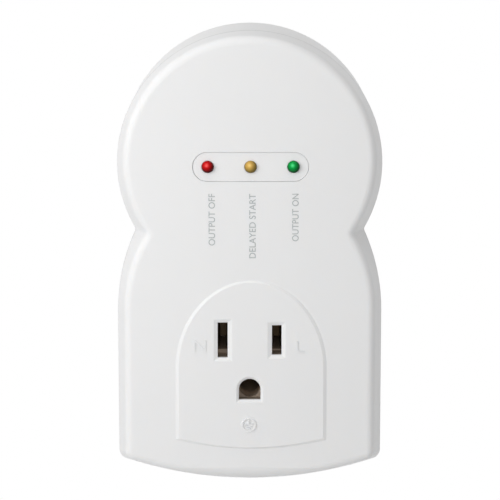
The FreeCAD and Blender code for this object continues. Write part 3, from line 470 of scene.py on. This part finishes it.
def plastic(name, colour, roughness=0.42, drift=0.03, grain=5000.0, height=0.000006, under=0.0):
    material, tree, shader = new_material(name)
    dress(tree, GRAIN, shader, {"Colour": colour, "Roughness": roughness, "Drift": drift,
                                "Grains per metre": grain, "Grain height": height})
    shader["IOR"].default_value = PLASTIC_IOR
    shader["Subsurface Weight"].default_value = under
    shader["Subsurface Radius"].default_value = SCATTER_COLOURS
    shader["Subsurface Scale"].default_value = SCATTER_DEPTH
    return material


PLASTICS = {
    "strip_white": dict(colour=(0.82, 0.82, 0.82), roughness=0.34, drift=0.02, grain=6000.0,
                        height=0.000003, under=0.25),
    "board_laminate": dict(colour=(0.02, 0.16, 0.055), roughness=0.25, drift=0.3, grain=1200.0,
                           height=0.000004),
    "relay_housing": dict(colour=(0.02, 0.10, 0.36), roughness=0.28),
    "relay_plastic": dict(colour=(0.06, 0.06, 0.065), roughness=0.5),
    "trimmer_blue": dict(colour=(0.03, 0.16, 0.48), roughness=0.35),
    "rotor_white": dict(colour=(0.80, 0.80, 0.76), roughness=0.4),
    "film_yellow": dict(colour=(0.80, 0.48, 0.05), roughness=0.3),
    "can_black": dict(colour=(0.018, 0.018, 0.022), roughness=0.25, drift=0.1),
    "varistor_blue": dict(colour=(0.03, 0.13, 0.42), roughness=0.4, drift=0.15, grain=1500.0,
                          height=0.00002),
    "fuse_tan": dict(colour=(0.66, 0.58, 0.40), roughness=0.35),
    "diode_black": dict(colour=(0.02, 0.02, 0.02), roughness=0.4),
    "resistor_tan": dict(colour=(0.66, 0.48, 0.26), roughness=0.4, drift=0.1),
    "chip_black": dict(colour=(0.025, 0.025, 0.028), roughness=0.5),
    "wire_black": dict(colour=(0.02, 0.02, 0.02), roughness=0.35),
    "wire_white": dict(colour=(0.82, 0.82, 0.80), roughness=0.35),
    "print_grey": dict(colour=(0.44, 0.47, 0.47), roughness=0.5, drift=0.1, grain=9000.0,
                       height=0.000002),
}
finishes = {name: plastic(name, **values) for name, values in PLASTICS.items()}
print("plastics", len(finishes))

# %% [markdown]
# The covers are a satin white, so their shader reflects less than plain plastic does, and the seam
# shade, a painted shadow line, lies along their joint.
# The frame says where that is: it is the back of the front cover.
# The insulators behind the openings are a brown moulding compound, painted paler deeper in as painted
# light.
# Both start as a plain plastic, and one more group then feeds the colour that the grain works on.


# %% Covers and insulators
COVER_WHITE = (0.835, 0.835, 0.835)
COVER_SPECULAR = 0.2
SEAM_GREY = (0.64, 0.64, 0.64)
SEAM_HALF_WIDTH = 0.0007
SEAM_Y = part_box("front_cover")[1].y
OPENING_BROWN = (0.21, 0.165, 0.125)
PAINTED_LIGHT_BROWN = (0.66, 0.53, 0.41)
OPENING_Y = -0.027
PAINTED_LIGHT_Y = -0.022


def tint(material, group, values):
    """Feeds one more group's colour into the group that the material has already."""
    tree = material.node_tree
    grain = next(n for n in tree.nodes if n.type == "GROUP")
    feed(tree, grain.inputs["Colour"], add_group(tree, group, values).outputs["Colour"])
    return material


def cover_plastic(name):
    material = plastic(name, COVER_WHITE, roughness=0.45, drift=0.02, grain=4200.0, height=0.000008,
                       under=0.25)
    shader = material.node_tree.nodes["Principled BSDF"].inputs
    shader["Specular IOR Level"].default_value = COVER_SPECULAR
    # Painted shade: a soft dark band along the joint of the covers.
    return tint(material, SEAM, {"Colour": COVER_WHITE, "Seam colour": SEAM_GREY,
                                 "Seam depth": SEAM_Y, "Half width": SEAM_HALF_WIDTH})


def insulator(name):
    material = plastic(name, OPENING_BROWN, roughness=0.60, drift=0.15, grain=3000.0)
    # Painted light: paler from the openings to deeper in, standing in for the light on the slot floors.
    return tint(material, DEPTH, {"Front colour": OPENING_BROWN, "Deep colour": PAINTED_LIGHT_BROWN,
                                  "Front": OPENING_Y, "Deep": PAINTED_LIGHT_Y})


finishes["case_white"] = cover_plastic("case_white")
finishes["insulator_dark"] = insulator("insulator_dark")
print("seam at mm", round(SEAM_Y / MM, 2))

# %% [markdown]
# Metals are fully metallic, with drawn lines along their own length.
# The outlet's contacts are a brass colour darkened almost to black: painted shade for the dim slots,
# which let in very little light.


# %% Metals
def metal(name, colour, roughness=0.28, tarnish=0.15, stretch=(1.0, 0.05, 1.0), lines=9000.0):
    material, tree, shader = new_material(name)
    dress(tree, DRAWN, shader, {"Colour": colour, "Roughness": roughness, "Tarnish": tarnish,
                                "Stretch": stretch, "Lines per metre": lines})
    shader["Metallic"].default_value = 1.0
    return material


METALS = {
    "tinned_wire": dict(colour=(0.72, 0.72, 0.71), roughness=0.35),
    "blade_nickel": dict(colour=(0.78, 0.76, 0.72), roughness=0.24, tarnish=0.12),
    # Painted shade: the contacts' brass is darkened far below real brass, to the dim of the slots.
    "contact_brass": dict(colour=(0.22, 0.16, 0.10), roughness=0.50, tarnish=0.5),
    "screw_steel": dict(colour=(0.62, 0.62, 0.63), roughness=0.36, tarnish=0.2, stretch=(1.0, 1.0, 0.1)),
    "relay_iron": dict(colour=(0.68, 0.68, 0.70), roughness=0.34),
    "coil_copper": dict(colour=(0.74, 0.27, 0.12), roughness=0.25, tarnish=0.2,
                        stretch=(1.0, 12.0, 1.0), lines=900.0),
    "contact_silver": dict(colour=(0.83, 0.80, 0.74), roughness=0.25),
}
finishes.update({name: metal(name, **values) for name, values in METALS.items()})
print("metals", len(METALS))

# %% [markdown]
# Each lamp has its own three colours: the epoxy's, a painted shade towards the rim and a painted
# highlight.
# The highlight stands a little to the upper left of the axis, where the key lamp's light falls.
# All distances are shares of the dome's radius, so the pattern keeps its look on a larger lamp.


# %% Lamps
LENS_RADIUS = 0.001425
LENS_ASIDE = 0.16
LENS_LIFT = 0.36
LENS_HIGHLIGHT = 0.46
LENS_CLEAR = 0.25
LENS_SHADE = 1.20
LENS_ROUGHNESS = 0.08
EPOXY_IOR = 1.5
EPOXY_SPECULAR = 0.05


def epoxy(name, node, colour, shade_colour, highlight_colour):
    material, tree, shader = new_material(name)
    low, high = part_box(node)
    axis = (low + high) / 2
    bright_x = axis.x - LENS_ASIDE * LENS_RADIUS
    bright_z = axis.z + LENS_LIFT * LENS_RADIUS
    dress(tree, LENS, shader, {"Colour": colour, "Deep colour": shade_colour, "Cup colour": highlight_colour,
                               "Cup radius": LENS_HIGHLIGHT * LENS_RADIUS,
                               "Bright point": (bright_x, 0.0, bright_z),
                               "Clear radius": LENS_CLEAR * LENS_RADIUS,
                               "Deep radius": LENS_SHADE * LENS_RADIUS,
                               "Roughness": LENS_ROUGHNESS})
    shader["IOR"].default_value = EPOXY_IOR
    shader["Specular IOR Level"].default_value = EPOXY_SPECULAR
    return material


# Each lamp's colours: the epoxy, its painted shade and its painted highlight.
LAMP_COLOURS = {
    "red": ((0.56, 0.004, 0.006), (0.07, 0.001, 0.001), (0.95, 0.10, 0.09)),
    "amber": ((0.62, 0.38, 0.09), (0.20, 0.14, 0.030), (0.86, 0.60, 0.20)),
    "green": ((0.002, 0.36, 0.060), (0.001, 0.07, 0.014), (0.08, 0.75, 0.24)),
}
for hue, colours in LAMP_COLOURS.items():
    finishes["lamp_" + hue] = epoxy("lamp_" + hue, "led_" + hue, *colours)
print("lamps", list(LAMP_COLOURS))

# %% [markdown]
# The frame's record says which finish each piece wears, so one loop dresses all of them.
# The CAD meshes are exact, but their normals are flat where a cylinder was cut into strips.
# Smoothing by angle keeps true edges sharp and lets light run round the rest.

# %% Dress and smooth the pieces
SMOOTH_ANGLE = math.radians(32)

for part in frame["record"]["subparts"]:
    piece = nodes[part["node"]]
    piece.data.materials.clear()
    piece.data.materials.append(finishes[part["material_slot"]])

for piece in nodes.values():
    for polygon in piece.data.polygons:
        polygon.use_smooth = True
    piece.data.set_sharp_from_angle(angle=SMOOTH_ANGLE)
print("dressed and smoothed", len(nodes), "pieces with", len(finishes), "finishes")

# %% [markdown]
# The words beside the lamps are printed on the crowned face in thin grey ink.
# They are plain state words in the built-in font, turned to read upwards.
# A picture of the words would blur close by, so each is a thin closed mesh: it is made flat, then
# every point is set on the face's curve, so the ink never floats.


# %% Letters on a curve
CROWN_RADIUS = 0.490
PANEL_RAISE = 0.00035
PANEL_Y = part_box("front_cover")[0].y
FACE_Y = PANEL_Y + PANEL_RAISE
CAP_SHARE = 0.72
CURVE_STEPS = 6
WELD = 1e-7


def face_y(x):
    """Where the crowned face lies at a given x."""
    return FACE_Y + x * x / (2 * CROWN_RADIUS)


def lettering(name, words, cap_height, thickness):
    """A closed mesh of flat letters in the XY plane, with its first letter at the origin."""
    curve = bpy.data.curves.new(name, "FONT")
    curve.body = words
    curve.size = cap_height / CAP_SHARE
    curve.extrude = thickness / 2
    curve.resolution_u = CURVE_STEPS
    source = bpy.data.objects.new(name + "_source", curve)
    scene.collection.objects.link(source)
    bpy.context.view_layer.update()
    solid = source.evaluated_get(bpy.context.evaluated_depsgraph_get())
    mesh = bpy.data.meshes.new_from_object(solid)
    bpy.data.objects.remove(source)
    form = bmesh.new()
    form.from_mesh(mesh)
    bmesh.ops.remove_doubles(form, verts=form.verts, dist=WELD)
    bmesh.ops.recalc_face_normals(form, faces=form.faces)
    form.to_mesh(mesh)
    form.free()
    mesh.name = name
    return mesh


def add_piece(name, mesh, finish):
    """Puts a printed or raised piece on the case, which never moves."""
    piece = bpy.data.objects.new(name, mesh)
    scene.collection.objects.link(piece)
    mesh.materials.clear()
    mesh.materials.append(finishes[finish])
    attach(piece, "root")
    return piece


print("face at mm", [round(face_y(x * MM) / MM, 3) for x in (0, 10, 20)])

# %% [markdown]
# Each word stands under its lamp and says what the lamp means: output off, a delayed start, output on.
# Each one is fitted to the length that its print has on the object.


# %% Printed words
INK = 0.00004
WORD_HEIGHT = 0.00156
WORD_TOP = 0.0348


def printed_word(name, words, x, length):
    """Letters that read upwards, with the end of the word at the top."""
    mesh = lettering(name, words, WORD_HEIGHT, INK)
    start = min(v.co.x for v in mesh.vertices)
    stretch = length / (max(v.co.x for v in mesh.vertices) - start)
    for v in mesh.vertices:
        along, across, lift = v.co
        px = x - across + WORD_HEIGHT / 2
        pz = WORD_TOP - length + (along - start) * stretch
        v.co = (px, face_y(px) - INK / 2 - lift, pz)
    return add_piece(name, mesh, "print_grey")


words = [printed_word("word_off", "OUTPUT OFF", -0.00886, 0.0122),
         printed_word("word_wait", "DELAYED START", 0.0006, 0.0152),
         printed_word("word_on", "OUTPUT ON", 0.01058, 0.0112)]
print("words", [w.name for w in words])

# %% [markdown]
# The outlet's panel carries the usual marks, moulded in the same white and only just raised:
# N and L beside the slots, and the earth symbol under the ground hole.
# Bump could fake them from the front, but real edges catch the key lamp as they do on the object.


# %% Raised letters
LETTER_RELIEF = 0.00016
LETTER_HEIGHT = 0.0029
SINK = 0.00004


def panel_y(x):
    """Where the panel's crowned surface lies at a given x."""
    return face_y(x) - PANEL_RAISE


def raised_letter(name, letter, centre_x, centre_z, width):
    mesh = lettering(name, letter, LETTER_HEIGHT, LETTER_RELIEF + SINK)
    low = min(v.co.x for v in mesh.vertices)
    high = max(v.co.x for v in mesh.vertices)
    stretch = width / (high - low)
    for v in mesh.vertices:
        along, across, lift = v.co
        x = centre_x + (along - (low + high) / 2) * stretch
        z = centre_z + across - LETTER_HEIGHT / 2
        v.co = (x, panel_y(x) + (SINK - LETTER_RELIEF) / 2 - lift, z)
    return add_piece(name, mesh, "case_white")


letters = [raised_letter("mark_n", "N", -0.0117, -0.00125, 0.0029),
           raised_letter("mark_l", "L", 0.0119, -0.0015, 0.0021)]
print("letters", [m.name for m in letters])

# %% [markdown]
# The earth symbol is a ring with a stem and three bars that grow shorter downwards.
# It is small enough to be built straight from its corners: a square section carried round for the ring,
# and plain blocks for the lines. They sink into the panel a little, so no light shows under them.


# %% Earth symbol
EARTH_CENTRE = (-0.0002, 0.0, -0.0204)
EARTH_RADIUS = 0.0017
EARTH_LINE = 0.00032
EARTH_RELIEF = 0.00024
EARTH_FRONT = PANEL_Y - EARTH_RELIEF
EARTH_BACK = PANEL_Y + SINK
RING_STEPS = 48
BAR_LINE = 0.65 * EARTH_LINE
STEM_TOP = 0.0012
# Each bar's height over the centre, and half of its length.
BARS = ((0.00020, 0.00105), (-0.00034, 0.00070), (-0.00088, 0.00036))
BLOCK_FACES = ((0, 1, 3, 2), (4, 6, 7, 5), (0, 4, 5, 1), (2, 3, 7, 6), (0, 2, 6, 4), (1, 5, 7, 3))


def bar(form, x0, x1, z0, z1):
    """A small block that stands out of the panel."""
    corners = [(x, y, z) for x in (x0, x1) for y in (EARTH_FRONT, EARTH_BACK) for z in (z0, z1)]
    verts = [form.verts.new(c) for c in corners]
    for face in BLOCK_FACES:
        form.faces.new([verts[i] for i in face])


def ring(form):
    inner = EARTH_RADIUS - EARTH_LINE
    section = ((EARTH_RADIUS, EARTH_FRONT), (EARTH_RADIUS, EARTH_BACK),
               (inner, EARTH_BACK), (inner, EARTH_FRONT))
    loops = []
    for i in range(RING_STEPS):
        a = 2 * math.pi * i / RING_STEPS
        loops.append([form.verts.new((r * math.cos(a), y, r * math.sin(a))) for r, y in section])
    for here, there in zip(loops, loops[1:] + loops[:1]):
        for k in range(4):
            form.faces.new((here[k], there[k], there[(k + 1) % 4], here[(k + 1) % 4]))


def earth_symbol():
    form = bmesh.new()
    ring(form)
    stem_foot = BARS[0][0] + BAR_LINE / 2
    bar(form, -BAR_LINE / 2, BAR_LINE / 2, stem_foot, STEM_TOP)
    for rise, half in BARS:
        bar(form, -half, half, rise - BAR_LINE / 2, rise + BAR_LINE / 2)
    bmesh.ops.translate(form, verts=form.verts, vec=EARTH_CENTRE)
    bmesh.ops.recalc_face_normals(form, faces=form.faces)
    mesh = bpy.data.meshes.new("earth_symbol")
    form.to_mesh(mesh)
    form.free()
    return add_piece("earth_symbol", mesh, "case_white")


symbol = earth_symbol()
print("mark", symbol.name, "corners", len(symbol.data.vertices))
